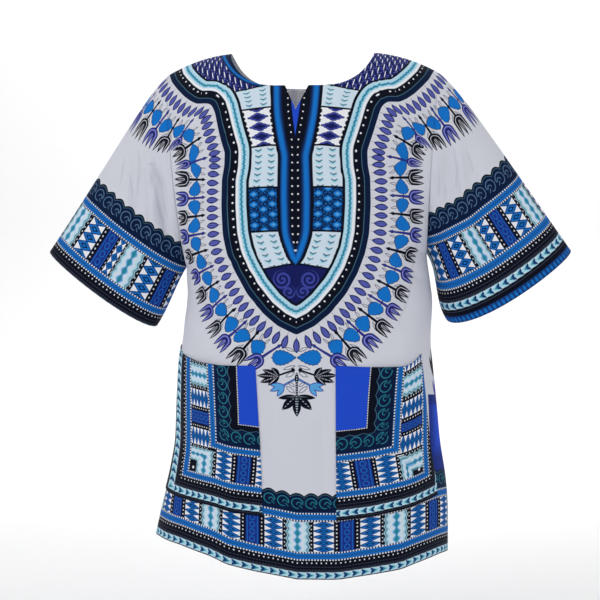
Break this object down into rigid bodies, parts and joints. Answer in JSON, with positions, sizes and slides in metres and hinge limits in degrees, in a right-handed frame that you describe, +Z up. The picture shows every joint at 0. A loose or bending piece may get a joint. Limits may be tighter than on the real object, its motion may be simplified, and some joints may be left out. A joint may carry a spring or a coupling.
{
  "type": "dashiki print t-shirt",
  "caption": "Loose short-sleeved cotton shirt in blue dashiki print, filled out as when worn, with a notched round neck, banded cuffs and hem, and large patch pockets.",
  "frame": {"origin": "midway between the two points where the shoulder seams meet the neckline, where the wearer's shoulders hold the shirt up", "axes": "+Z up towards the neck, -Y out of the front, +X towards the picture's right"},
  "size_m": [0.7476, 0.258, 0.7345],
  "materials": {
    "front": "plain-weave cotton, printed on its face in blues, black and white, matt with a slight sheen",
    "back": "plain-weave cotton, printed on its face in blues, black and white, matt with a slight sheen",
    "sleeve_left": "plain-weave cotton, printed on its face in blues, black and white, matt with a slight sheen",
    "sleeve_right": "plain-weave cotton, printed on its face in blues, black and white, matt with a slight sheen",
    "pocket_left": "plain-weave cotton, printed on its face in blues, black and white, matt with a slight sheen",
    "pocket_right": "plain-weave cotton, printed on its face in blues, black and white, matt with a slight sheen"
  },
  "bodies": {
    "root": {"front": "front", "back": "back", "sleeve_left": "sleeve_left", "sleeve_right": "sleeve_right", "pocket_left": "pocket_left", "pocket_right": "pocket_right"}
  },
  "joints": []
}
